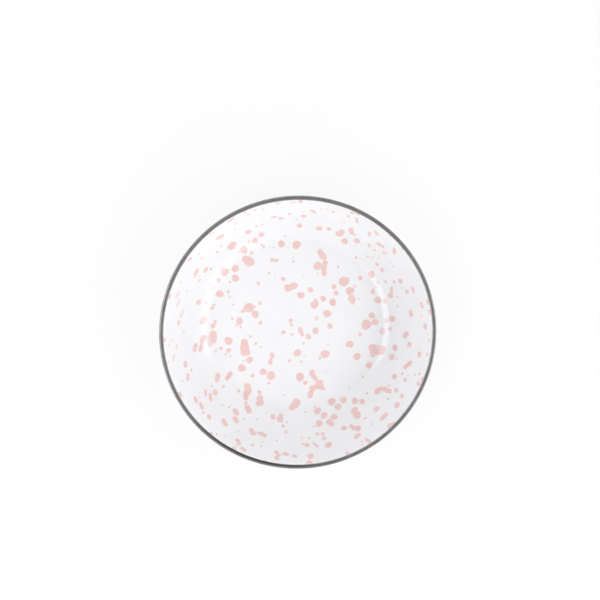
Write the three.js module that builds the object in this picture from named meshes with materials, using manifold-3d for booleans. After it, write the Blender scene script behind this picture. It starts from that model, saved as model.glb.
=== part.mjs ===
// Enamel soup bowl: a pressed steel bowl, its fired enamel coats and a stainless band folded over the lip.
// Millimetres, +Z up. The origin is the middle of the flat base, on the surface that the bowl stands on.

import * as THREE from 'three';
import { mergeVertices } from 'three/addons/utils/BufferGeometryUtils.js';
import Module from 'manifold-3d';

const wasm = await Module();
wasm.setup();

// Bowl: driving dimensions
const RIM_DIAMETER = 220; // over the rim band
const HEIGHT = 40; // from the base to the top of the rim band
const FLOOR_DIAMETER = 132; // flat middle of the bowl
const WALL_ANGLE = 61; // degrees above level, where the wall reaches the lip
const WALL_FULLNESS = 0.65; // how far the wall's curve fills its corner: 0 is a cone, 1 the tightest
const LIP_ANGLE = 12; // degrees above level
const LIP_WIDTH = 2.25; // straight part of the lip, from its bend to its edge
const LIP_BEND_RADIUS = 0.8; // under the lip, on the finished enamel

// Layers: driving dimensions
const STEEL_THICKNESS = 0.7;
const GROUND_COAT = 0.1;
const COVER_COAT = 0.15;
const FIRED_GAP = 0.02; // between neighbouring layers, which are fused on the real bowl

// Rim band: driving dimensions
const BAND_THICKNESS = 0.4;
const BAND_GRIP = 2.15; // how far the band's two legs reach in from the lip's edge
const BAND_CLEARANCE = 0.05; // between the enamelled lip and the band folded over it
const SEAM_WIDTH = 0.25; // gap between the strip's two ends
const SEAM_ANGLE = 139; // degrees from +X to the seam

// Fineness of the round shapes
const TURN_STEPS = 48;
const WALL_STEPS = 6;
const BEND_STEPS = 2;
const FOLD_STEPS = 3;

// Distances of each layer's faces from the middle of the steel sheet
const steelFace = STEEL_THICKNESS / 2;
const groundBack = steelFace + FIRED_GAP;
const groundFace = groundBack + GROUND_COAT;
const coverBack = groundFace + FIRED_GAP;
const coverFace = coverBack + COVER_COAT;
const bandBack = coverFace + BAND_CLEARANCE;
const bandFace = bandBack + BAND_THICKNESS;

// Places in the half section: x is the distance from the axis, y is the height
const wallAngle = THREE.MathUtils.degToRad(WALL_ANGLE);
const lipAngle = THREE.MathUtils.degToRad(LIP_ANGLE);
const bendRadius = LIP_BEND_RADIUS + coverFace;
const floorMiddle = new THREE.Vector2(0, coverFace);
const floorEdge = new THREE.Vector2(FLOOR_DIAMETER / 2, coverFace);
const lipEdge = new THREE.Vector2(RIM_DIAMETER / 2 - bandFace, HEIGHT - bandFace);
const lipStart = lipEdge.clone().addScaledVector(direction(lipAngle), -LIP_WIDTH);
const bendCentre = lipStart.clone().addScaledVector(normalOf(direction(lipAngle)), -bendRadius);
const wallTop = bendCentre.clone().addScaledVector(normalOf(direction(wallAngle)), bendRadius);

function direction(angle) {
  return new THREE.Vector2(Math.cos(angle), Math.sin(angle));
}

// The side of a line that faces into the bowl, for a line that runs outwards from the axis
function normalOf(tangent) {
  return new THREE.Vector2(-tangent.y, tangent.x);
}

// Stations along one curve: points and their normals, leaving out the curve's start
function stationsOf(curve, steps) {
  return Array.from({ length: steps }, (_, step) => {
    const share = (step + 1) / steps;
    return { point: curve.getPoint(share), normal: normalOf(curve.getTangent(share)) };
  });
}

// The middle of the steel sheet in section: level floor, curved wall, bend and lip
function sheetStations() {
  const wallRise = wallTop.y - floorEdge.y;
  const corner = new THREE.Vector2(wallTop.x - wallRise / Math.tan(wallAngle), floorEdge.y);
  const floor = new THREE.LineCurve(floorMiddle, floorEdge);
  const wall = new THREE.CubicBezierCurve(
    floorEdge,
    floorEdge.clone().lerp(corner, WALL_FULLNESS),
    wallTop.clone().lerp(corner, WALL_FULLNESS),
    wallTop,
  );
  const bend = new THREE.EllipseCurve(
    bendCentre.x,
    bendCentre.y,
    bendRadius,
    bendRadius,
    wallAngle + Math.PI / 2,
    lipAngle + Math.PI / 2,
    true,
  );
  const lip = new THREE.LineCurve(lipStart, lipEdge);
  return [
    { point: floorMiddle, normal: normalOf(direction(0)) },
    ...stationsOf(floor, 1),
    ...stationsOf(wall, WALL_STEPS),
    ...stationsOf(bend, BEND_STEPS),
    ...stationsOf(lip, 1),
  ];
}

const stations = sheetStations();

// Closed half section of the layer that lies between two distances from the middle of the sheet
function layerSection(below, above) {
  const underside = stations.map(({ point, normal }) => point.clone().addScaledVector(normal, below));
  const upperSide = stations.map(({ point, normal }) => point.clone().addScaledVector(normal, above));
  return [...underside, ...upperSide.reverse()];
}

// Closed half section of the band: a U that opens inwards over the lip and folds round its edge
function bandSection() {
  const outline = new THREE.Shape();
  outline.moveTo(-BAND_GRIP, -bandFace);
  outline.lineTo(0, -bandFace);
  outline.absarc(0, 0, bandFace, -Math.PI / 2, Math.PI / 2, false);
  outline.lineTo(-BAND_GRIP, bandFace);
  outline.lineTo(-BAND_GRIP, bandBack);
  outline.lineTo(0, bandBack);
  outline.absarc(0, 0, bandBack, Math.PI / 2, -Math.PI / 2, true);
  outline.lineTo(-BAND_GRIP, -bandBack);
  outline.closePath();
  const lipOrigin = new THREE.Vector2();
  return outline.getPoints(FOLD_STEPS).map((point) => point.rotateAround(lipOrigin, lipAngle).add(lipEdge));
}

// Turns a half section about the bowl's axis, which stands on +Z
function turned(section) {
  return new THREE.LatheGeometry(section, TURN_STEPS).rotateX(Math.PI / 2);
}

function toSolid(geometry) {
  const bare = geometry.clone();
  bare.deleteAttribute('normal');
  bare.deleteAttribute('uv');
  const closed = mergeVertices(bare);
  const vertProperties = closed.attributes.position.array;
  const triVerts = closed.index.array;
  return new wasm.Manifold(new wasm.Mesh({ numProp: 3, vertProperties, triVerts }));
}

function toGeometry(solid) {
  const { vertProperties, triVerts } = solid.getMesh();
  const geometry = new THREE.BufferGeometry();
  geometry.setAttribute('position', new THREE.BufferAttribute(vertProperties, 3));
  geometry.setIndex(new THREE.BufferAttribute(triVerts, 1));
  geometry.computeVertexNormals();
  return geometry;
}

// The band is one strip bent into a ring, so a seam parts its two ends
function bandGeometry() {
  const cutReach = 2 * (BAND_GRIP + bandFace);
  const seamCut = new THREE.BoxGeometry(cutReach, SEAM_WIDTH, cutReach);
  seamCut.translate(lipEdge.x, 0, lipEdge.y);
  seamCut.rotateZ(THREE.MathUtils.degToRad(SEAM_ANGLE));
  return toGeometry(toSolid(turned(bandSection())).subtract(toSolid(seamCut)));
}

const pressedSteel = new THREE.MeshStandardMaterial({ color: 0x8b8e91, roughness: 0.45, metalness: 1 });
const groundEnamel = new THREE.MeshStandardMaterial({ color: 0x23262c, roughness: 0.3, metalness: 0 });
const coverEnamel = new THREE.MeshStandardMaterial({ color: 0xf3f2f4, roughness: 0.12, metalness: 0 });
const stainlessSteel = new THREE.MeshStandardMaterial({ color: 0xb9bbbc, roughness: 0.22, metalness: 1 });

const bowl = new THREE.Group();

function addPiece(name, geometry, material) {
  const piece = new THREE.Mesh(geometry, material.clone());
  piece.name = name;
  bowl.add(piece);
}

addPiece('steel_core', turned(layerSection(-steelFace, steelFace)), pressedSteel);
addPiece('inner_ground_coat', turned(layerSection(groundBack, groundFace)), groundEnamel);
addPiece('outer_ground_coat', turned(layerSection(-groundFace, -groundBack)), groundEnamel);
addPiece('inner_cover_coat', turned(layerSection(coverBack, coverFace)), coverEnamel);
addPiece('outer_cover_coat', turned(layerSection(-coverFace, -coverBack)), coverEnamel);
addPiece('rim_band', bandGeometry(), stainlessSteel);

export default bowl;
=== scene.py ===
# Looks of the enamel soup bowl: glossy white coats, spattered drops of glaze and a folded stainless rim band.
# Metres, +Z up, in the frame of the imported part, whose sections are read from its nodes.
import math
import random

import bpy
import numpy as np
from mathutils import Matrix, Vector


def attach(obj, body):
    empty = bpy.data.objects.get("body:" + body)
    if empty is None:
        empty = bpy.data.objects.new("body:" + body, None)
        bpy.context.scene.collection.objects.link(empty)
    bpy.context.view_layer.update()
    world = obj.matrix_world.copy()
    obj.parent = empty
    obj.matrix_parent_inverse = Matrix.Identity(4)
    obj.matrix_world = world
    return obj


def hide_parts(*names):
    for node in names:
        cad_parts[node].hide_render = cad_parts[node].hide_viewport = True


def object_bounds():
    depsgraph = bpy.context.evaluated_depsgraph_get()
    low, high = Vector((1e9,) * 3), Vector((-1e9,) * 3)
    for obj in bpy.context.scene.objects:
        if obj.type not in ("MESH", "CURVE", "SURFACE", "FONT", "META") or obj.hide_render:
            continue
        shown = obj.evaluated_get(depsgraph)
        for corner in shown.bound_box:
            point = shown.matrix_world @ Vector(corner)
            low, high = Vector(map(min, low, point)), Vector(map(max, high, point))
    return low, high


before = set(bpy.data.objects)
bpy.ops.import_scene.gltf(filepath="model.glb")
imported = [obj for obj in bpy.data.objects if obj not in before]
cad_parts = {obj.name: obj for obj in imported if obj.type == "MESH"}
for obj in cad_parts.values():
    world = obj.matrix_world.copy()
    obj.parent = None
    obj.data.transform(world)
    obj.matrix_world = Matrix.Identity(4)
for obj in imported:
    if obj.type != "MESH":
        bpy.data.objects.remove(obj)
cad_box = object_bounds()
scene = bpy.context.scene

MM = 0.001

# Fineness of the round shapes
TURN_STEPS = 240
FLOOR_STEPS = 6
WALL_STEPS = 40
BEND_STEPS = 8
LIP_STEPS = 2
FOLD_STEPS = 16
EDGE_STEPS = 6
SAME_PLACE = 1e-6  # points that round to the same multiple of this are one
SHARP_EDGE = math.radians(50)  # faces that meet at more than this are not shaded as one

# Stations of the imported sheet, counted from the axis
FLOOR_EDGE = 1
WALL_TOP = 7
LIP_START = 9

# Rim band: the strip's seam, where the part has it and pressed nearly shut
SEAM_BEARING = math.radians(139)
SEAM_WIDTH = 0.08 * MM

# Drops of glaze
CELL = 0.5 * MM  # of the chart that the drops are drawn on
MERGE = 0.4 * MM  # how softly neighbouring drops run together
SPREAD = 0.4 * MM  # from a drop's visible edge out to where it melts into the white coat
FIELD_REACH = 2  # how far out a drop is worked out, by its radius with its soft edge
DROP_RISE = 0.045 * MM  # of a drop's middle over the white coat
DROP_SINK = 0.01 * MM  # of its edge below the white coat's face
DROP_DEPTH = 0.05 * MM  # of its underside's middle below its edge
SHOULDER = 0.8 * MM  # width of the rounded edge
TINT_START = 0.2 * MM  # the colour sets in this far from a drop's melted edge
TINT_WIDTH = 0.45 * MM  # and is full after this much more
UNDER_BAND = 0.9 * MM  # how far drops at the rim go on under the band
FULL_TONE = 1.0  # share of its own colour inside a drop at full colour; paler drops have less
PALE_TONE = 0.6
FINE_TONE = 0.8
OVAL_SHARE = 0.06  # how far a drop's edge strays from round, by its radius
CORNER_SHARE = 0.04
EDGE_SEED = 5
OUTER_DROPS = 420
OUTER_SEED = 3
LONG_SHARE = 0.35  # of the outer drops that are long
LONG_STRETCH = 1.2  # from the middle of a long drop's one end to that of the other, by its radius

# Drops inside the bowl in millimetres, seen from above: x and y, or those of both ends, and the diameter
FULL_DROPS = [
    # Top left
    (-60.8, 68.3, 2.4), (-63.8, 62.8, 2.6), (-85.1, 60, 4.5), (-42.4, 63.4, 6.8), (-36.3, 60.5, 3),
    (-38.3, 53.4, 8.4), (-41.6, 56, 5), (-39, 78.9, 5.4), (-33.4, 71, 5.4), (-28.3, 75.8, 5.2),
    (-32.3, 83.4, 2.4), (-42, 97, 2.5), (-6.1, 93.7, 2.8), (-28, 66.8, 2.4), (-26.3, 64.9, 2.2),
    (-12, 67.7, 5.8), (-19.4, 54.4, 3.6), (-16, 54, 3.2),
    # Top right
    (1.8, 104.9, 4.6), (28.1, 96.2, 3.2), (39.8, 93, 3.4), (42.4, 96, 4), (47.2, 95.7, 4),
    (5.1, 91.8, 4.6), (2.3, 83.2, 4.8), (18.2, 80.9, 5.2), (26, 80.6, 4.2), (34.3, 76.4, 6.2),
    (36.6, 78.8, 4.4), (38.9, 70.3, 6), (43.5, 79.4, 4.8), (43.4, 81.2, 4), (44, 77.6, 3.8),
    (46.3, 76, 2), (48.3, 71, 5.4), (0.3, 66.8, 6.8), (19.3, 61, 4.6), (20.6, 58.9, 5), (21.9, 56.9, 5.6),
    (48.5, 56.3, 2.4), (58.2, 67.5, 3.4), (62.4, 63.8, 2.4), (69.6, 62.3, 3.4), (82.5, 68.2, 3),
    (72.9, 78.6, 3), (57.6, 57.7, 2),
    # Left, upper half
    (-82, 43.8, 2), (-69.1, 48.7, 2.8), (-58.1, 45.1, 6.6), (-63.2, 38.5, 3.8), (-62.4, 26.9, 6.2),
    (-78.2, 40, 2.6), (-101.5, 30.8, 4.5), (-95.1, 7.2, 4.2), (-79.4, 21.3, 4.8), (-68.6, 15.4, 3),
    (-67.1, 18, 2.2), (-77.5, 4, 3), (-68, 0.5, 4.4), (-66, 4, 2.8),
    # Left, lower half
    (-106.1, -3.5, 4), (-55.5, -11.9, 6.8), (-61.6, -18, 3), (-55.4, -19.9, 4), (-85.4, -32.6, 2.4),
    (-94.2, -48.1, 5), (-69.1, -47.7, 2), (-59.8, -49.1, 2.6), (-66.6, -53, 5.2),
    # Middle left
    (-49.5, 47.8, 5.9), (-49.5, 39.7, 6.1), (-55.3, 28.6, 2.6), (-30.8, 35.5, 3), (-10.6, 38.8, 3.8),
    (-6.6, 31.4, 6.4), (-2, 33.2, 6.2), (-29.5, 19, 3), (-38.8, 15.3, 8.2), (-33.4, 9.9, 6.2),
    (-33.6, 16, 2.2), (-44, 12.3, 2.8), (-52.2, 6.5, 2.4), (-46.4, 4.4, 6), (-48.5, 0.5, 1.6),
    (-45.4, -0.8, 2.2), (-29.2, 2.8, 3.4), (-4.7, 4.4, 3.8), (-4, 0.8, 2.2), (-10.4, -5.2, 3.4),
    (-3.4, -7, 2.4),
    # Middle right
    (17.6, 49.4, 6.8), (23.6, 51.6, 4.8), (22.3, 47.8, 5.4), (22.7, 43.4, 4.7), (34.2, 48.4, 2.4),
    (30.8, 32.2, 4.2), (32.5, 27, 3.9), (29.8, 19.4, 6), (43.9, 28.7, 6.8), (45.6, 22, 6.4),
    (46.3, 18.6, 3), (52.4, 39.3, 3.8), (22, 22.4, 4.8), (15, 17.4, 6.6), (16, 20.7, 3.5),
    (25.3, 10, 6.4), (3.8, 25.3, 5.9), (11.7, 29.8, 4.4), (27.7, -0.4, 4.6), (3.4, -4.2, 4.6),
    (3.4, -2.4, 3), (4.8, -7.3, 3.4), (15.8, -4.2, 5.6), (57.4, 0.6, 8.2), (52.5, -7.4, 3.1),
    # Right
    (65.2, 51.3, 3.6), (69.2, 46.9, 4), (61.1, 42.5, 5.8), (72.5, 36.9, 2.8), (79, 37.6, 3.2),
    (83.2, 38.8, 4.8), (62.7, 27.7, 3.8), (88.3, 30.4, 4.4), (66.8, 21.1, 6), (103.1, 25.2, 5),
    (105.1, 17.1, 4.5), (101.9, 4.3, 5), (61.9, 8.1, 5.4), (64.7, 2.6, 5.6), (78.2, 6, 5.4),
    (76.8, -2.5, 3.4),
    # Lower middle left
    (-37.3, -8.6, 2.8), (-42.4, -13.2, 5.8), (-42.3, -16.4, 6.4), (-42.2, -19.6, 7.6),
    (-39.9, -22.1, 4.6), (-43.2, -22.4, 4.8), (-33.2, -14.4, 2.6), (-38.5, -27.9, 5.8),
    (-44.6, -34.7, 6.6), (-36, -41.2, 3.2), (-27.3, -38.1, 5.8), (-20.8, -41.3, 7.2), (-22.7, -47.7, 2.6),
    (-19.7, -24.6, 4), (-20, -22.6, 2.2), (-20.6, -27.5, 2.2), (-21.3, -30.3, 4), (1, -22.5, 6.2),
    (-5.6, -29, 2.6), (4.3, -29.8, 2.1), (3, -42.7, 7.2), (-40.4, -49.9, 5.4), (-39.4, -53.8, 6),
    (-41.2, -56.3, 5.4), (-41.5, -59.8, 4), (-47.5, -53.7, 2.8), (-30.3, -55.2, 3.6), (-29.9, -60.2, 5.4),
    (-29.7, -63.4, 6.2), (-32, -64.9, 3),
    # Lower middle right
    (10, -9, 4.8), (23.7, -23.7, 7), (19.4, -27.2, 2.4), (43.9, -15.6, 6.2), (50.1, -26, 6),
    (59.9, -33.3, 5.4), (54.9, -43, 1.8), (7.4, -47.7, 3.6), (13, -39.4, 5), (14.6, -42.5, 4.6),
    (16.2, -45, 3.2), (19.5, -48.6, 6.6), (17.5, -50.6, 5), (20.3, -51.4, 4), (22.7, -52.7, 2.6),
    (13.4, -52.2, 5), (12, -56.2, 4.8), (11.3, -58.3, 4.4), (29.2, -63.8, 6.4), (38.9, -62, 5.8),
    (48, -62.4, 5.4), (53.8, -62.4, 5), (58, -55.6, 2.2),
    # Lower right
    (91.1, -13.1, 4.8), (80.5, -17.5, 5.4), (77.9, -25.4, 5.4), (61.9, -18.1, 5), (64.1, -18.1, 4.6),
    (63.1, -21.5, 6), (63.1, -24.4, 4.6), (67.4, -22.8, 4), (71.7, -19, 4), (70.5, -21.6, 5.2),
    (97.9, -19.3, 4.8), (103.2, -17.6, 3), (85.4, -36.9, 2.8), (97.5, -33.9, 2.6), (87.3, -41.1, 3.6),
    (96.3, -41.5, 4.4), (100.1, -37.6, 5), (79.6, -40.3, 5.2), (66.2, -53.3, 5.6), (69.2, -50.9, 3.6),
    (71.6, -51, 4.4), (74.3, -51.7, 4.4), (76, -51.9, 3.2), (80.4, -50.3, 4.2), (84.2, -53.2, 4.2),
    (64.7, -66.2, 5.2), (80.2, -60.6, 5.4), (73.3, -75.5, 5), (76.8, -74.4, 4.6), (84, -65.4, 2),
    # Bottom left
    (-76.1, -65.2, 2.8), (-71.6, -68.9, 4.8), (-55.2, -65.5, 2.2), (-70, -80.6, 4), (-65.4, -81.4, 2.4),
    (-41.6, -63.7, 3), (-19.5, -75.1, 4.8), (-12.7, -74.5, 3.8), (-13.5, -77.2, 5.4), (-11.1, -82.2, 3),
    (-7.9, -79.6, 1.8), (-8.9, -86.2, 3), (0, -64, 6.6), (-0.8, -66.4, 5.4), (-3.5, -67.9, 5.4),
    (-31.4, -85.7, 3), (-28.9, -86.5, 4), (-26.5, -87.8, 3.6), (-48.6, -88.2, -47.6, -90, 4.2),
    (-51.6, -92.7, 4), (-36.7, -92.6, 3.2), (-17.6, -98.6, 3.4), (-15.6, -100.3, 3.6), (-17.2, -102, 4.4),
    (-26.9, -103.6, 3),
    # Bottom right
    (15.1, -67.7, 1.6), (17.4, -71.2, 6), (22.7, -74.5, 5.6), (34.3, -67.6, 5.6), (31, -75.3, 5.4),
    (18.4, -80.5, 5.8), (38.5, -82.4, 4.8), (47.9, -68.8, 5), (49.4, -72.6, 7), (46.4, -70.2, 4),
    (55.5, -73.8, 2.4), (44, -80.5, 3.6), (46.2, -81.6, 4.4), (49.4, -81.5, 5.6), (16.8, -87.6, 3.2),
    (21.1, -87.4, 2.8), (21.9, -90.1, 3.6), (4.8, -94.3, 2.6), (8, -94.9, 4), (25, -94.2, 6),
    (10, -101.4, 5.6), (8.8, -105.5, 5.6), (39.6, -97.8, 3.6), (51.6, -89.3, 1.8), (51.5, -91.2, 1.8),
    # Longer drops, by both ends, and a round one among them
    (-80.1, 49, -80.9, 46.8, 4.4), (-72.7, 49.5, -73.7, 47.7, 3.6), (-52.9, 66.8, -51.5, 68.2, 7),
    (-19.4, 91.4, -17.4, 91.1, 3), (-14, 90.1, -12.2, 89.9, 3), (-54.4, 89.6, -51, 92, 3),
    (57.3, 76.5, 57.3, 79.2, 2.6), (61.9, 79.8, 62.9, 78.6, 3.8), (64.6, 69.9, 68, 67.6, 3.4),
    (76.7, 66.4, 76.8, 63, 3.4), (46.5, 91.2, 46.9, 87.8, 2.6), (11, 97.2, 14, 95, 3),
    (38.6, 36, 39.4, 37, 7.6), (77.3, 32, 77, 27, 2.8), (76.7, 25.4, 4.8), (92.2, 34.2, 92.7, 32.2, 3.6),
    (98.8, 22.2, 99.3, 20.2, 3.6), (91.8, 13.2, 92, 12.2, 4.8), (-82, -14, -83.2, -17.6, 3.9),
    (-75.9, -8.6, -76.6, -11, 4.8), (-77.7, -15.4, -78.5, -18, 3.8), (-67.9, -6, -67.6, -11.2, 5.6),
    (-90, -26.6, -90.4, -27.9, 4.2), (-88.1, -36, -88.5, -38.6, 3.4), (-64.2, -40.5, -65, -43.1, 4.8),
    (-54, -39, -56.8, -43.2, 3.8), (-74.2, -50.4, -74.4, -53.6, 2.4), (-70.7, -54, -70.2, -57.4, 3.2),
    (-82.4, -53.8, -81.6, -56.2, 3.8), (-78, -59, -77.2, -61.4, 4), (-59.7, -74.2, -58.6, -76, 4.8),
    (-50.6, -68.4, -49.2, -70.2, 4.8), (-50.8, -73.8, -49.4, -75.6, 4.4),
    (-40.2, -67.6, -39.2, -69.4, 5.2), (-36.9, -83.8, -36.1, -85.2, 5), (-44.9, -93.6, -43.3, -94.7, 3.8),
    (-10.9, -99.8, -8.9, -100.4, 3.6), (-3.6, -101.3, -2.2, -101.5, 3.4), (91.4, -27.4, 87.8, -31.4, 4),
    (71, -69.2, 68.8, -71.6, 4.8), (47.5, -87, 49.3, -85.6, 4.4), (26.5, -79, 28.5, -80.1, 5),
    (54.9, -87.6, 60.6, -91.2, 3), (-62.4, 75.9, -60.2, 76.9, 5.2), (13.4, -93.6, 16.4, -95.8, 2.2),
    (87.9, -6.4, 89.2, -4.9, 4.8),
]
# Drops drawn paler, with less of their own colour
PALE_DROPS = [
    # Top
    (-76.2, 59.5, 3), (-46.3, 61.5, 3), (-38.2, 69.8, 3), (-27.8, 85, 2.8), (-48.4, 87.7, 3),
    (-38.5, 94.9, 4), (-27.2, 99.2, 3), (37.2, 86.5, 2.2), (4, 95.5, 2), (43.2, 67.8, 1.6),
    (52.4, 68.2, 1.8), (72.4, 62.8, 2), (61.6, 57, 2),
    # Left
    (-60.4, 47.8, 4), (-67.1, 32.9, 3.6), (-70.2, 35.2, 1.6), (-78.1, 43.7, 2), (-92.7, 41.2, 3),
    (-73.1, 20.2, 2.6), (-75.6, 5.9, 6.4), (-91.2, -1.6, 2.4), (-100.1, -6, 2.6), (-102.4, -8.7, 2.4),
    (-103.9, -22.4, 3), (-78.6, -54, 2),
    # Middle
    (17.6, 43, 2.4), (5.9, 42, 1.6), (47.9, 32.6, 2.8), (56.7, 28.6, 1.4), (16.6, 6.2, 3.6),
    (6, -14.5, 2.6), (6.9, -24.6, 1.6), (26, -15.6, 2.4), (53.9, -41, 1.4),
    # Right
    (66.7, 35.8, 3.2), (65.1, 31.9, 2.4), (63.1, 30, 1.8), (72.7, 20.1, 4.4), (73.6, 4.2, 4),
    (71, -4.9, 5.8), (67.7, -18.2, 4.5), (89.6, -37.3, 2.2), (74.9, -47.9, 3),
    # Bottom
    (-49.1, -91.3, 2.5), (36.4, -95, 1.6), (4.1, -90.4, 2.6),
    # Near the rim
    (-49.6, 82.4, 2.6), (-34.2, 98.4, 3.5), (-16, 103.6, 5), (-3.8, 104.3, 4), (18.9, 98.4, 2.6),
    (23.3, 98.2, 2.6), (99.2, 12.4, 2.6), (104.6, -6.3, 3), (-88.1, 32.5, 2.5),
    # Longer drops, by both ends
    (-96.7, -11.3, -96.9, -12.9, 3.2), (-69, 79.2, -66.4, 81, 3), (-94.8, 32.2, -96.4, 28.8, 3),
    (-94.3, 25.4, -95.8, 22, 3.4), (-91.6, 16, -93.2, 12.2, 3.2), (-71.2, -9, -70.4, -14, 4.4),
    (-98.7, -18, -99.6, -21.2, 3.2),
]
FINE_DROPS = [
    # Top
    (-78.3, 63.2, 2), (-21.4, 64.6, 1), (-18.6, 64.5, 1.4), (-9.1, 74.2, 1.6), (-2.4, 53.3, 2.2),
    (-2.2, 56.4, 1.2), (-0.2, 88.9, 2.2), (48, 66.7, 1.2), (66.6, 57.5, 1.6),
    # Left
    (-65.8, -20.1, 1.8), (-57.7, -23, 2), (-54, -24.6, 1.8), (-92.6, -39, 2),
    # Middle
    (-53.7, 36.9, 2), (-54, 24.4, 1.6), (-51.4, 18, 1.6), (-22.1, 43.7, 2.2), (-17.2, 42.7, 1.2),
    (51.2, 21.8, 1.8), (-29.1, -17.5, 1.8), (-43.5, -28.8, 1.6), (-9.7, -57.6, 1.4), (-53.5, -64, 1.2),
    (24.1, -39, 1.2), (44, -51.8, 1.4),
    # Right
    (76.8, 50.9, 1.8), (75.5, 54, 1.4), (84.7, 33, 1.6), (81.7, 24.9, 1.8), (79.2, 21.4, 1.2),
    (82.3, 17.1, 1.8), (81.6, -26.4, 2), (94.5, -35.6, 2.2), (74.1, -57.4, 2.2), (60.7, -77, 1.6),
    # Bottom
    (-60.8, -62.6, 2), (-58.6, -84.2, 1.6), (-43.2, -74.9, 2), (-32.5, -76.2, 1.8), (-24.1, -71.6, 1.4),
    (-47.9, -82.4, 1.8), (-28.5, -91.8, 1.8), (-29.8, -94.1, 2), (-16.6, -91.6, 1.8), (7.6, -72, 1.6),
    (14, -82.6, 1.8), (9.8, -90.5, 2),
]


# Section of the bowl


def half_section(name):
    """Corners of a turned node's half section, as radius and height, the upper one on the axis first."""
    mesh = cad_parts[name].data
    spots = [tuple(round(value / SAME_PLACE) for value in corner.co) for corner in mesh.vertices]
    beside = {}
    for edge in mesh.edges:
        start, end = (spots[index] for index in edge.vertices)
        in_plane = start[1] == end[1] == 0 and min(start[0], end[0]) >= 0
        if in_plane and start != end:
            beside.setdefault(start, set()).add(end)
            beside.setdefault(end, set()).add(start)
    walk = [max(spot for spot in beside if spot[0] == 0)]
    while ahead := beside[walk[-1]].difference(walk):
        walk.append(min(ahead))
    return np.array(walk)[:, [0, 2]] * SAME_PLACE


def axis_heights(name):
    """Heights of a turned node's lower and upper face on the axis."""
    section = half_section(name)
    return section[-1, 1], section[0, 1]


def run_along(line):
    """Length along a line up to each of its points."""
    return np.concatenate([[0], np.cumsum(np.linalg.norm(np.diff(line, axis=0), axis=1))])


def unit(vector):
    return vector / np.linalg.norm(vector)


def clamped_curve(points, start_way, end_way, steps):
    """Points along the smooth curve through given ones that leaves and arrives in given directions."""
    knots = run_along(points)
    spans = np.diff(knots)
    system = np.eye(len(points))
    wanted = np.zeros_like(points)
    wanted[0], wanted[-1] = start_way, end_way
    for i in range(1, len(points) - 1):
        before, after = spans[i - 1], spans[i]
        system[i, i - 1:i + 2] = after, 2 * (before + after), before
        arriving = (points[i] - points[i - 1]) / before
        leaving = (points[i + 1] - points[i]) / after
        wanted[i] = 3 * (after * arriving + before * leaving)
    ways = np.linalg.solve(system, wanted)
    places = np.linspace(0, knots[-1], steps + 1)
    span = np.clip(np.searchsorted(knots, places) - 1, 0, len(spans) - 1)
    width = spans[span][:, None]
    share = (places - knots[span])[:, None] / width
    start, end = points[span], points[span + 1]
    along = share**2 * (3 - 2 * share)
    bend = share * (1 - share) * width * ((1 - share) * ways[span] - share * ways[span + 1])
    return start + along * (end - start) + bend


def sheet_line():
    """Middle of the steel sheet in section: level floor, curved wall, bend and straight lip."""
    section = half_section("steel_core")
    count = len(section) // 2
    stations = (section[:count] + section[:count - 1:-1]) / 2
    wall = stations[FLOOR_EDGE:WALL_TOP + 1]
    bend = stations[WALL_TOP:LIP_START + 1]
    lip_way = unit(stations[-1] - stations[LIP_START])
    # The bend is an arc, so the wall meets its chord at the same angle as the lip does
    chord = unit(bend[-1] - bend[0])
    wall_way = 2 * lip_way.dot(chord) * chord - lip_way
    return np.concatenate([
        np.linspace(stations[0], stations[FLOOR_EDGE], FLOOR_STEPS + 1),
        clamped_curve(wall, (1, 0), wall_way, WALL_STEPS)[1:],
        clamped_curve(bend, wall_way, lip_way, BEND_STEPS)[1:],
        np.linspace(stations[LIP_START], stations[-1], LIP_STEPS + 1)[1:],
    ])


sheet = sheet_line()
sheet_ways = np.gradient(sheet, run_along(sheet), axis=0)
sheet_ways /= np.linalg.norm(sheet_ways, axis=1, keepdims=True)
sheet_normals = np.column_stack([-sheet_ways[:, 1], sheet_ways[:, 0]])


def sheet_offset(height):
    """Line beside the middle of the sheet that meets the axis at a given height."""
    return sheet + sheet_normals * (height - sheet[0, 1])


# Meshes


def new_piece(name, points, faces):
    mesh = bpy.data.meshes.new(name)
    mesh.from_pydata(points, [], faces)
    mesh.shade_smooth()
    mesh.set_sharp_from_angle(angle=SHARP_EDGE)
    piece = bpy.data.objects.new(name, mesh)
    scene.collection.objects.link(piece)
    return piece


def turned_shell(name, outline):
    """Closed mesh of an outline that runs from the axis out along the underside and back to the axis."""
    bearings = np.arange(TURN_STEPS) * math.tau / TURN_STEPS
    rims = outline[1:-1]
    points = np.stack([
        np.outer(rims[:, 0], np.cos(bearings)),
        np.outer(rims[:, 0], np.sin(bearings)),
        np.outer(rims[:, 1], np.ones(TURN_STEPS)),
    ], axis=-1).reshape(-1, 3)
    lower_pole, upper_pole = len(points), len(points) + 1
    poles = [(0, 0, outline[0, 1]), (0, 0, outline[-1, 1])]
    rings = np.arange(len(points)).reshape(len(rims), TURN_STEPS)
    ahead = np.roll(rings, -1, axis=1)
    quads = np.stack([rings[:-1], ahead[:-1], ahead[1:], rings[1:]], axis=-1).reshape(-1, 4)
    lower_fan = [(lower_pole, *pair) for pair in zip(ahead[0], rings[0])]
    upper_fan = [(upper_pole, *pair) for pair in zip(rings[-1], ahead[-1])]
    return new_piece(name, np.concatenate([points, poles]), [*quads.tolist(), *lower_fan, *upper_fan])


def layer_piece(name, node):
    """Smooth shell in the place of one of the part's turned layers."""
    low, high = axis_heights(node)
    piece = turned_shell(name, np.concatenate([sheet_offset(low), sheet_offset(high)[::-1]]))
    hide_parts(node)
    return piece


def arc(centre, radius, start, end, steps):
    """Points round part of a circle, from a start angle to an end angle in degrees."""
    angles = np.radians(np.linspace(start, end, steps + 1))
    return np.array(centre) + radius * np.column_stack([np.cos(angles), np.sin(angles)])


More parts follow.
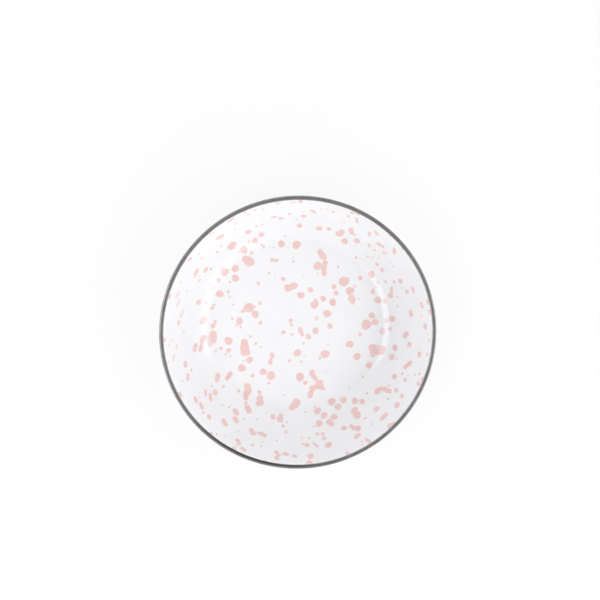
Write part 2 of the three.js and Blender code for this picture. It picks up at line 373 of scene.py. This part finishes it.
def band_outline():
    """Closed section of the rim band: a U folded round the lip's edge, its two cut edges rounded."""
    axes = np.column_stack([sheet_ways[-1], sheet_normals[-1]])
    corners = np.array([corner.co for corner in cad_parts["rim_band"].data.vertices])
    in_plane = (abs(corners[:, 1]) < SAME_PLACE) & (corners[:, 0] > 0)
    local = (corners[in_plane][:, [0, 2]] - sheet[-1]) @ axes
    grip = -local[:, 0].min()
    leg_ends = abs(local[local[:, 0] < SAME_PLACE - grip, 1])
    back, face = leg_ends.min(), leg_ends.max()
    half, middle = (face - back) / 2, (face + back) / 2
    outline = np.concatenate([
        arc((0, 0), face, -90, 90, FOLD_STEPS),
        arc((half - grip, middle), half, 90, 270, EDGE_STEPS),
        arc((0, 0), back, 90, -90, FOLD_STEPS),
        arc((half - grip, -middle), half, 90, 270, EDGE_STEPS),
    ])
    return sheet[-1] + outline @ axes.T


def band_piece(name):
    """The rim band's strip, bent into a ring whose two ends meet at the seam."""
    outline = band_outline()
    half_seam = SEAM_WIDTH / 2 / outline[:, 0].mean()
    bearings = SEAM_BEARING + np.linspace(half_seam, math.tau - half_seam, TURN_STEPS + 1)
    points = np.stack([
        np.outer(np.cos(bearings), outline[:, 0]),
        np.outer(np.sin(bearings), outline[:, 0]),
        np.outer(np.ones(len(bearings)), outline[:, 1]),
    ], axis=-1).reshape(-1, 3)
    rings = np.arange(len(points)).reshape(len(bearings), len(outline))
    ahead = np.roll(rings, -1, axis=1)
    quads = np.stack([rings[:-1], rings[1:], ahead[1:], ahead[:-1]], axis=-1).reshape(-1, 4)
    ends = [rings[0].tolist(), rings[-1, ::-1].tolist()]
    piece = new_piece(name, points, [*quads.tolist(), *ends])
    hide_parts("rim_band")
    return piece


# Drops of glaze


class TurnedFace:
    """One side of the bowl: a line turned round the axis, the way out of the surface, and a flat chart of it.

    A place on the chart lies as far from its middle as the run along the line, in its own bearing.
    """

    def __init__(self, height, side):
        self.line = sheet_offset(height)
        self.out = sheet_normals * side
        self.runs = run_along(self.line)

    def run_at(self, radius):
        return np.interp(radius, self.line[:, 0], self.runs)

    def radius_at(self, run):
        return np.interp(run, self.runs, self.line[:, 0])

    def charted(self, seen):
        """Place on the chart of a point that is seen from above, in millimetres."""
        place = np.array(seen) * MM
        radius = np.linalg.norm(place)
        return place / radius * self.run_at(radius)

    def lifted(self, chart, lifts):
        """Points that stand over places on the chart by given heights."""
        runs = np.hypot(*chart.T)
        ways = chart / np.maximum(runs, SAME_PLACE)[:, None]
        outwards, upwards = (np.interp(runs, self.runs, part) for part in self.out.T)
        radii = self.radius_at(runs) + lifts * outwards
        heights = np.interp(runs, self.runs, self.line[:, 1]) + lifts * upwards
        return np.column_stack([ways * radii[:, None], heights])


def listed_drops(face, drops, tone):
    """Listed drops on the chart, each as its two ends, radius and tone."""
    for *ends, diameter in drops:
        yield face.charted(ends[:2]), face.charted(ends[-2:]), diameter * MM / 2, tone


def outer_drops(face, limit):
    """Drops strewn over the outside, as large and as dense as those inside."""
    draw = random.Random(OUTER_SEED)
    sizes = [drop[-1] * MM / 2 for drop in FULL_DROPS + PALE_DROPS + FINE_DROPS]
    strewn = 0
    while strewn < OUTER_DROPS:
        run = draw.uniform(0, limit)
        bearing = draw.uniform(0, math.tau)
        if draw.uniform(0, face.radius_at(limit)) > face.radius_at(run):
            continue
        strewn += 1
        radius = draw.choice(sizes)
        start = run * np.array([math.cos(bearing), math.sin(bearing)])
        way = draw.uniform(0, math.tau)
        stretch = LONG_STRETCH * radius if draw.random() < LONG_SHARE else 0
        yield start, start + stretch * np.array([math.cos(way), math.sin(way)]), radius, FULL_TONE


def drop_chart(face, drops, limit):
    """Chart with, at each of its points, the depth inside the drops' edges and the tone of their glaze."""
    reach = math.ceil(limit / CELL) + 1
    ticks = np.arange(-reach, reach + 1) * CELL
    u, v = np.meshgrid(ticks, ticks, indexing="ij")
    nearness = np.zeros_like(u)
    toned = np.zeros_like(u)
    draw = random.Random(EDGE_SEED)
    for start, end, radius, tone in drops:
        # Axes of true lengths at the drop: the chart is stretched across its bearing
        middle = (start + end) / 2
        run = np.linalg.norm(middle)
        way = middle / run
        squeeze = face.radius_at(run) / run
        axes = np.array([way, (-way[1] * squeeze, way[0] * squeeze)])
        # Places in a window round the drop, and how far each is off the line between its ends
        window_reach = np.linalg.norm(end - start) / 2 + FIELD_REACH * (radius + SPREAD + MERGE)
        low, high = np.searchsorted(ticks, [middle - window_reach, middle + window_reach])
        window = (slice(low[0], high[0]), slice(low[1], high[1]))
        spots = np.stack([u[window] - middle[0], v[window] - middle[1]], axis=-1) @ axes.T
        half = axes @ (end - start) / 2
        share = spots @ half / max(half @ half, SAME_PLACE**2)
        off_line = spots - np.clip(share, -1, 1)[..., None] * half
        # Edge of the drop, not quite round, and its part in the sum of all drops
        angle = np.arctan2(spots[..., 1], spots[..., 0])
        oval = OVAL_SHARE * np.cos(2 * angle + draw.uniform(0, math.tau))
        corners = CORNER_SHARE * np.cos(3 * angle + draw.uniform(0, math.tau))
        edge = radius * (1 + oval + corners) + SPREAD
        weight = np.exp((edge - np.linalg.norm(off_line, axis=-1)) / MERGE)
        nearness[window] += weight
        toned[window] += weight * tone
    drawn = nearness > 0
    depth = np.full_like(u, -SPREAD)
    depth[drawn] = MERGE * np.log(nearness[drawn])
    depth = np.minimum(depth, limit - np.hypot(u, v))
    tone = np.divide(toned, nearness, out=np.zeros_like(u), where=drawn)
    return ticks, depth, tone


def smooth_step(share):
    """Rise from 0 to 1 that starts and ends level."""
    share = np.clip(share, 0, 1)
    return share**2 * (3 - 2 * share)


def drop_cells(ticks, depth, tone):
    """Cells of the chart, clipped to the drops, and the places, depths and tones of their points.

    The last value given says which of the points lie on a drop's edge.
    """
    places, depths, tones, known = [], [], [], {}

    def point(key, first, second, mix):
        """Number of the point between two corners of the chart, made where it is new."""
        if key not in known:
            known[key] = len(places)
            start, end = ticks[list(first)], ticks[list(second)]
            places.append(start + mix * (end - start))
            depths.append(depth[first] + mix * (depth[second] - depth[first]))
            tones.append(tone[first] + mix * (tone[second] - tone[first]))
        return known[key]

    inside = depth > 0
    used = inside[:-1, :-1] | inside[1:, :-1] | inside[1:, 1:] | inside[:-1, 1:]
    faces = []
    for i, j in np.argwhere(used).tolist():
        cell = [(i, j), (i + 1, j), (i + 1, j + 1), (i, j + 1)]
        polygon = []
        for here, following in zip(cell, cell[1:] + cell[:1]):
            if inside[here]:
                polygon.append(point(here, here, here, 0))
            if inside[here] != inside[following]:
                low, high = sorted((here, following))
                polygon.append(point((low, high), low, high, depth[low] / (depth[low] - depth[high])))
        faces.append(polygon)
    on_edge = np.array([isinstance(key[0], tuple) for key in known])
    return faces, np.array(places), np.array(depths), np.array(tones), on_edge


def spatter_piece(name, face, drops, limit):
    """Drops as thin closed lenses: their cells of the chart, laid on the face and doubled below."""
    faces, chart, depths, tones, on_edge = drop_cells(*drop_chart(face, drops, limit))
    shoulder = smooth_step(depths / SHOULDER)
    top = face.lifted(chart, (DROP_RISE + DROP_SINK) * shoulder - DROP_SINK)
    below = face.lifted(chart[~on_edge], -DROP_DEPTH * shoulder[~on_edge] - DROP_SINK)
    under = np.arange(len(chart))
    under[~on_edge] = len(chart) + np.arange(len(below))
    faces += [under[polygon[::-1]].tolist() for polygon in faces]
    if face.out[0, 1] < 0:
        faces = [polygon[::-1] for polygon in faces]
    piece = new_piece(name, np.concatenate([top, below]), faces)
    tint = tones * smooth_step((depths - TINT_START) / TINT_WIDTH)
    values = piece.data.attributes.new("tint", "FLOAT", "POINT")
    values.data.foreach_set("value", np.concatenate([tint, tint[~on_edge]]))
    return piece


# Materials: a noise's scale counts its features per metre

NOISE_LIMITS = (0.3, 0.7)  # most of a noise's values lie between them


class Nodes:
    """A node tree with short ways to add to it."""

    def __init__(self, tree):
        self.tree = tree

    def add(self, kind, inputs=None, **settings):
        node = self.tree.nodes.new(kind)
        for name, value in settings.items():
            setattr(node, name, value)
        for socket, value in (inputs or {}).items():
            self.set(node.inputs[socket], value)
        return node

    def set(self, socket, value):
        if isinstance(value, bpy.types.NodeSocket):
            self.tree.links.new(value, socket)
        else:
            socket.default_value = value

    def mapped(self, value, from_low, from_high, to_low, to_high):
        inputs = {0: value, 1: from_low, 2: from_high, 3: to_low, 4: to_high}
        return self.add("ShaderNodeMapRange", inputs).outputs["Result"]

    def math(self, operation, first, second):
        return self.add("ShaderNodeMath", {0: first, 1: second}, operation=operation).outputs[0]

    def dot(self, first, second):
        node = self.add("ShaderNodeVectorMath", {0: first, 1: second}, operation="DOT_PRODUCT")
        return node.outputs["Value"]

    def length(self, vector):
        node = self.add("ShaderNodeVectorMath", {0: vector}, operation="LENGTH")
        return node.outputs["Value"]


class Surface(Nodes):
    """A new material round the principled shader, with sockets that are the same all over it."""

    def __init__(self, name, **sockets):
        self.material = bpy.data.materials.new(name)
        self.material.use_nodes = True
        super().__init__(self.material.node_tree)
        self.shader = self.tree.nodes["Principled BSDF"]
        for socket, value in sockets.items():
            self.shader.inputs[socket.replace("_", " ")].default_value = value
        self.place = self.add("ShaderNodeTexCoord").outputs["Object"]

    def noise(self, scale, detail=2, place=None):
        inputs = {"Vector": place or self.place, "Scale": scale, "Detail": detail}
        return self.add("ShaderNodeTexNoise", inputs).outputs["Fac"]

    def ramp(self, noise, colours, limits=NOISE_LIMITS):
        """Colour between a low and a high one, by a noise's value between its limits."""
        node = self.add("ShaderNodeValToRGB", {"Fac": noise})
        for element, place, colour in zip(node.color_ramp.elements, limits, colours):
            element.position = place
            element.color = (*colour, 1)
        return node.outputs["Color"]

    def spread(self, noise, low, high):
        """Number between a low and a high one, by a noise's value."""
        return self.mapped(noise, *NOISE_LIMITS, low, high)

    def mix(self, factor, start, end):
        node = self.add("ShaderNodeMix", {"Factor": factor}, data_type="RGBA")
        first, second = (socket for socket in node.inputs if socket.type == "RGBA")
        self.set(first, start)
        self.set(second, end)
        return next(socket for socket in node.outputs if socket.type == "RGBA")

    def bump(self, height, strength, distance, normal=None):
        inputs = {"Height": height, "Strength": strength, "Distance": distance}
        if normal:
            inputs["Normal"] = normal
        return self.add("ShaderNodeBump", inputs).outputs["Normal"]

    def finish(self, **links):
        for socket, value in links.items():
            self.set(self.shader.inputs[socket.replace("_", " ")], value)
        return self.material


# Enamel of the coats and drops
GLASS_IOR = 1.5
WAVE_SCALE = 70
WAVE_STRENGTH = 0.6
WAVE_HEIGHT = 0.12 * MM
SKIN_SCALE = 900
SKIN_STRENGTH = 0.25
SKIN_HEIGHT = 0.01 * MM
GLOSS_SCALE = 160
GLOSS_ROUGHNESS = (0.07, 0.13)
WHITE_SCALE = 45
WHITE_COLOURS = ((0.88, 0.876, 0.897), (0.905, 0.902, 0.922))
DROP_SCALE = 130
PINK_COLOURS = ((0.835, 0.57, 0.548), (0.865, 0.625, 0.603))
BROWN_COLOURS = ((0.64, 0.54, 0.52), (0.73, 0.63, 0.61))


def enamel_gloss(surface):
    """Fired glass: slow waves and a fine orange-peel skin, with a gloss that varies a little."""
    waves = surface.bump(surface.noise(WAVE_SCALE, detail=1), WAVE_STRENGTH, WAVE_HEIGHT)
    skin = surface.bump(surface.noise(SKIN_SCALE), SKIN_STRENGTH, SKIN_HEIGHT, waves)
    roughness = surface.spread(surface.noise(GLOSS_SCALE, detail=3), *GLOSS_ROUGHNESS)
    return {"Normal": skin, "Roughness": roughness}


def white_colour(surface):
    return surface.ramp(surface.noise(WHITE_SCALE, detail=4), WHITE_COLOURS)


def white_enamel():
    surface = Surface("white_enamel", IOR=GLASS_IOR)
    return surface.finish(Base_Color=white_colour(surface), **enamel_gloss(surface))


def spatter_enamel(name, colours):
    """Enamel of the drops, from the white coat's colour at their edges to their own colour inside."""
    surface = Surface(name, IOR=GLASS_IOR)
    own_colour = surface.ramp(surface.noise(DROP_SCALE, detail=4), colours)
    tint = surface.add("ShaderNodeAttribute", attribute_name="tint").outputs["Fac"]
    colour = surface.mix(tint, white_colour(surface), own_colour)
    return surface.finish(Base_Color=colour, **enamel_gloss(surface))


# Dark enamel under the coats
GROUND_SCALE = 400
GROUND_COLOURS = ((0.012, 0.014, 0.02), (0.022, 0.024, 0.03))
GROUND_LIMITS = (0.35, 0.65)
GROUND_GLOSS_SCALE = 700
GROUND_ROUGHNESS = (0.3, 0.5)


def ground_enamel():
    surface = Surface("ground_enamel", IOR=GLASS_IOR)
    colour = surface.ramp(surface.noise(GROUND_SCALE, detail=4), GROUND_COLOURS, GROUND_LIMITS)
    roughness = surface.spread(surface.noise(GROUND_GLOSS_SCALE, detail=3), *GROUND_ROUGHNESS)
    return surface.finish(Base_Color=colour, Roughness=roughness)


def turned_coordinates(surface):
    """Place on a turned piece as its radius and height alone, so that a texture of it runs in rings."""
    parts = surface.add("ShaderNodeSeparateXYZ", {0: surface.place}).outputs
    level = surface.add("ShaderNodeCombineXYZ", {0: parts["X"], 1: parts["Y"]}).outputs[0]
    return surface.add("ShaderNodeCombineXYZ", {0: surface.length(level), 2: parts["Z"]}).outputs[0]


# Steel sheet of the bowl
PRESSED_SCALE = 90
PRESSED_COLOURS = ((0.22, 0.23, 0.24), (0.30, 0.31, 0.32))
PRESSED_LINE_SCALE = 5000
PRESSED_ROUGHNESS = (0.35, 0.55)


def pressed_steel():
    surface = Surface("pressed_steel", Metallic=1)
    lines = surface.noise(PRESSED_LINE_SCALE, place=turned_coordinates(surface))
    colour = surface.ramp(surface.noise(PRESSED_SCALE, detail=5), PRESSED_COLOURS)
    return surface.finish(Base_Color=colour, Roughness=surface.spread(lines, *PRESSED_ROUGHNESS))


# Stainless steel of the band
STAIN_SCALE = 140
STAINLESS_COLOURS = ((0.3, 0.295, 0.3), (0.38, 0.375, 0.38))
SCRATCH_SCALE = 9000
SCRATCH_STRENGTH = 0.3
SCRATCH_DEPTH = 0.004 * MM
STAINLESS_ROUGHNESS = (0.16, 0.3)
DENT_SCALE = 220
DENT_STRENGTH = 0.8
DENT_DEPTH = 0.05 * MM


def stainless_steel():
    """Rolled strip: fine scratches along it, shallow dents and a slightly uneven tone."""
    surface = Surface("stainless_steel", Metallic=1)
    lines = surface.noise(SCRATCH_SCALE, place=turned_coordinates(surface))
    colour = surface.ramp(surface.noise(STAIN_SCALE, detail=4), STAINLESS_COLOURS)
    dents = surface.bump(surface.noise(DENT_SCALE, detail=1), DENT_STRENGTH, DENT_DEPTH)
    scratched = surface.bump(lines, SCRATCH_STRENGTH, SCRATCH_DEPTH, dents)
    roughness = surface.spread(lines, *STAINLESS_ROUGHNESS)
    return surface.finish(Base_Color=colour, Roughness=roughness, Normal=scratched)


# Pieces


def dress(piece, material):
    piece.data.materials.append(material)
    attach(piece, "root")


white = white_enamel()
spatter = spatter_enamel("spatter_enamel", PINK_COLOURS)
specks = spatter_enamel("speck_enamel", BROWN_COLOURS)
ground = ground_enamel()
inner_face = TurnedFace(axis_heights("inner_cover_coat")[1], 1)
outer_face = TurnedFace(axis_heights("outer_cover_coat")[0], -1)
band_edge = band_outline()[:, 0].min()
inner_limit = inner_face.run_at(band_edge) + UNDER_BAND
outer_limit = outer_face.run_at(band_edge) + UNDER_BAND

dress(layer_piece("steel_bowl", "steel_core"), pressed_steel())
dress(layer_piece("inner_ground", "inner_ground_coat"), ground)
dress(layer_piece("outer_ground", "outer_ground_coat"), ground)
dress(layer_piece("inner_enamel", "inner_cover_coat"), white)
dress(layer_piece("outer_enamel", "outer_cover_coat"), white)
dress(band_piece("steel_band"), stainless_steel())
inside_drops = [
    *listed_drops(inner_face, FULL_DROPS, FULL_TONE),
    *listed_drops(inner_face, PALE_DROPS, PALE_TONE),
]
fine_drops = listed_drops(inner_face, FINE_DROPS, FINE_TONE)
outside_drops = outer_drops(outer_face, outer_limit)
dress(spatter_piece("inner_spatter", inner_face, inside_drops, inner_limit), spatter)
dress(spatter_piece("inner_specks", inner_face, fine_drops, inner_limit), specks)
dress(spatter_piece("outer_spatter", outer_face, outside_drops, outer_limit), spatter)


# Camera: the photograph looks into the bowl from a little off its axis

PHOTO_SIZE = 600  # pixels across and down
RIM_PIXEL = (298.4, 334.4)  # middle of the rim's circle in the photograph
PIXEL_AT_RIM = 0.792 * MM  # size of a pixel there
CAMERA_TILT = math.radians(10.7)  # off the bowl's axis
CAMERA_BEARING = math.radians(104)  # from +X
CAMERA_DISTANCE = 1.15  # from the middle of the rim
SENSOR = 36  # millimetres, as the lens


def direction(off_axis, bearing):
    level = math.sin(off_axis)
    return Vector((level * math.cos(bearing), level * math.sin(bearing), math.cos(off_axis)))


def facing(place, target):
    """Placement of a lamp or camera that looks at a target, with +Y up in its picture."""
    back = (place - target).normalized()
    right = Vector((0, 1, 0)).cross(back).normalized()
    turn = Matrix((right, back.cross(right), back)).transposed()
    return Matrix.Translation(place) @ turn.to_4x4()


def add_camera():
    rim = Vector((0, 0, cad_box[1].z))
    place = rim + CAMERA_DISTANCE * direction(CAMERA_TILT, CAMERA_BEARING)
    axes = facing(place, rim)
    across = (PHOTO_SIZE / 2 - RIM_PIXEL[0]) * PIXEL_AT_RIM
    upward = (RIM_PIXEL[1] - PHOTO_SIZE / 2) * PIXEL_AT_RIM
    target = rim + across * axes.col[0].to_3d() + upward * axes.col[1].to_3d()
    camera = bpy.data.cameras.new("camera")
    camera.sensor_width = SENSOR
    camera.lens = SENSOR * CAMERA_DISTANCE / (PHOTO_SIZE * PIXEL_AT_RIM)
    scene.camera = bpy.data.objects.new("camera", camera)
    scene.camera.matrix_world = facing(place, target)
    scene.collection.objects.link(scene.camera)


add_camera()


# Floor

FLOOR_HALF = 4.0
FLOOR_DROP = 0.1 * MM  # keeps the floor clear of the base
FLOOR_COLOUR = (0.93, 0.93, 0.93, 1)
FLOOR_ROUGHNESS = 0.9
WHITE = (1, 1, 1, 1)
# Painted shade: the floor's white glow is weaker near the bowl, deepening its real shadow and darkening it a
# little round the base
PAINTED_FLOOR_SHADE = (0.07, 0.105, 0.35, 0.8)  # distances from the axis, and how white the floor shows there
WHITE_FLOOR = (0.2, 0.7, 0, 0.2)  # distances, and how much whiter it shows


def floor_material():
    """Pale diffuse floor that shows lighter to the camera and in reflections, white far from the bowl and
    with a painted shade close round it.
    """
    surface = Surface("pale_floor", Roughness=FLOOR_ROUGHNESS, Base_Color=FLOOR_COLOUR)
    rays = surface.add("ShaderNodeLightPath").outputs
    seen = surface.math("MAXIMUM", rays["Is Camera Ray"], rays["Is Glossy Ray"])
    shown = surface.math("MAXIMUM", seen, rays["Is Transmission Ray"])
    away = surface.length(surface.place)
    # Glow share, lowered near the bowl as a painted shade
    painted_shade_glow = surface.mapped(away, *PAINTED_FLOOR_SHADE)
    whiteness = surface.math("ADD", painted_shade_glow, surface.mapped(away, *WHITE_FLOOR))
    share = surface.math("MULTIPLY", shown, whiteness)
    glow = surface.add("ShaderNodeEmission", {"Color": WHITE, "Strength": 1}).outputs[0]
    cover = surface.add("ShaderNodeMixShader", {0: share, 1: surface.shader.outputs[0], 2: glow}).outputs[0]
    surface.set(surface.tree.nodes["Material Output"].inputs["Surface"], cover)
    return surface.material


def add_floor():
    sides = ((-1, -1), (1, -1), (1, 1), (-1, 1))
    corners = [(x * FLOOR_HALF, y * FLOOR_HALF, -FLOOR_DROP) for x, y in sides]
    floor = new_piece("floor", corners, [(0, 1, 2, 3)])
    floor.data.materials.append(floor_material())


add_floor()


# Light

LAMP_DISTANCE = 1.3  # from the middle of the bowl's base
HORIZON_LEVEL = 1.0
ROOM_LEVEL = 1.0  # average brightness above the horizon
ROOM_TILT = 0.24  # how much brighter the room is on its bright side than on average
BRIGHT_SIDE = -8  # bearing, in degrees
HORIZON = (0.15, 0.35)  # heights between which the even light of the horizon gives way to the room's own
CEILING_RING = (14, 17, 24, 30)  # inside, dark from, dark to and outside, in degrees from opposite the camera
CEILING_LEVEL = 0.25  # share of the room's light that comes from the ring
CENTRE_LEVEL = 0.65  # and from inside it

# Dark things in the room: degrees off the axis, bearing, inner and outer reach, and share of its light left
DARK_THINGS = (
    (24, 55, 10, 17, 0.05),
    (60, 196, 6, 16, 0.5),
)


def cosine(degrees):
    return math.cos(math.radians(degrees))


def strip_lamp(name, off_axis, bearing, width, length, radiance):
    """Long soft lamp that faces the bowl, of a given brightness."""
    lamp = bpy.data.lights.new(name, "AREA")
    lamp.shape = "RECTANGLE"
    lamp.size = width
    lamp.size_y = length
    lamp.energy = radiance * math.pi * width * length
    place = LAMP_DISTANCE * direction(math.radians(off_axis), math.radians(bearing))
    fitting = bpy.data.objects.new(name, lamp)
    fitting.matrix_world = facing(place, Vector((0, 0, 0)))
    scene.collection.objects.link(fitting)


def add_room():
    """Pale room, even at the horizon and brighter on one side above it, with dark things and a dark ring."""
    world = bpy.data.worlds.new("room")
    world.use_nodes = True
    scene.world = world
    room = Nodes(world.node_tree)
    way = room.add("ShaderNodeTexCoord").outputs["Generated"]
    mirrored = room.dot(way, direction(CAMERA_TILT, CAMERA_BEARING + math.pi))
    centre, ring_start, ring_end, outside = (cosine(angle) for angle in CEILING_RING)
    outer_part = room.mapped(mirrored, outside, ring_end, 1, CEILING_LEVEL)
    inner_part = room.mapped(mirrored, ring_start, centre, CEILING_LEVEL, CENTRE_LEVEL)
    shade = room.math("MAXIMUM", outer_part, inner_part)
    for off_axis, bearing, inner, outer, share in DARK_THINGS:
        nearness = room.dot(way, direction(math.radians(off_axis), math.radians(bearing)))
        dark = room.mapped(nearness, cosine(outer), cosine(inner), 1, share)
        shade = room.math("MULTIPLY", shade, dark)
    side = room.dot(way, direction(math.pi / 2, math.radians(BRIGHT_SIDE)))
    tilted = room.mapped(side, -1, 1, ROOM_LEVEL * (1 - ROOM_TILT), ROOM_LEVEL * (1 + ROOM_TILT))
    rise = room.add("ShaderNodeSeparateXYZ", {0: way}).outputs["Z"]
    level = room.mapped(rise, *HORIZON, HORIZON_LEVEL, tilted)
    background = world.node_tree.nodes["Background"].inputs
    room.set(background["Strength"], room.math("MULTIPLY", shade, level))
    room.set(background["Color"], WHITE)


strip_lamp("right_lamp", off_axis=54, bearing=-34, width=0.42, length=1.5, radiance=1.85)
strip_lamp("left_lamp", off_axis=38, bearing=203, width=0.46, length=0.95, radiance=2.6)
add_room()
scene.view_settings.view_transform = "Standard"
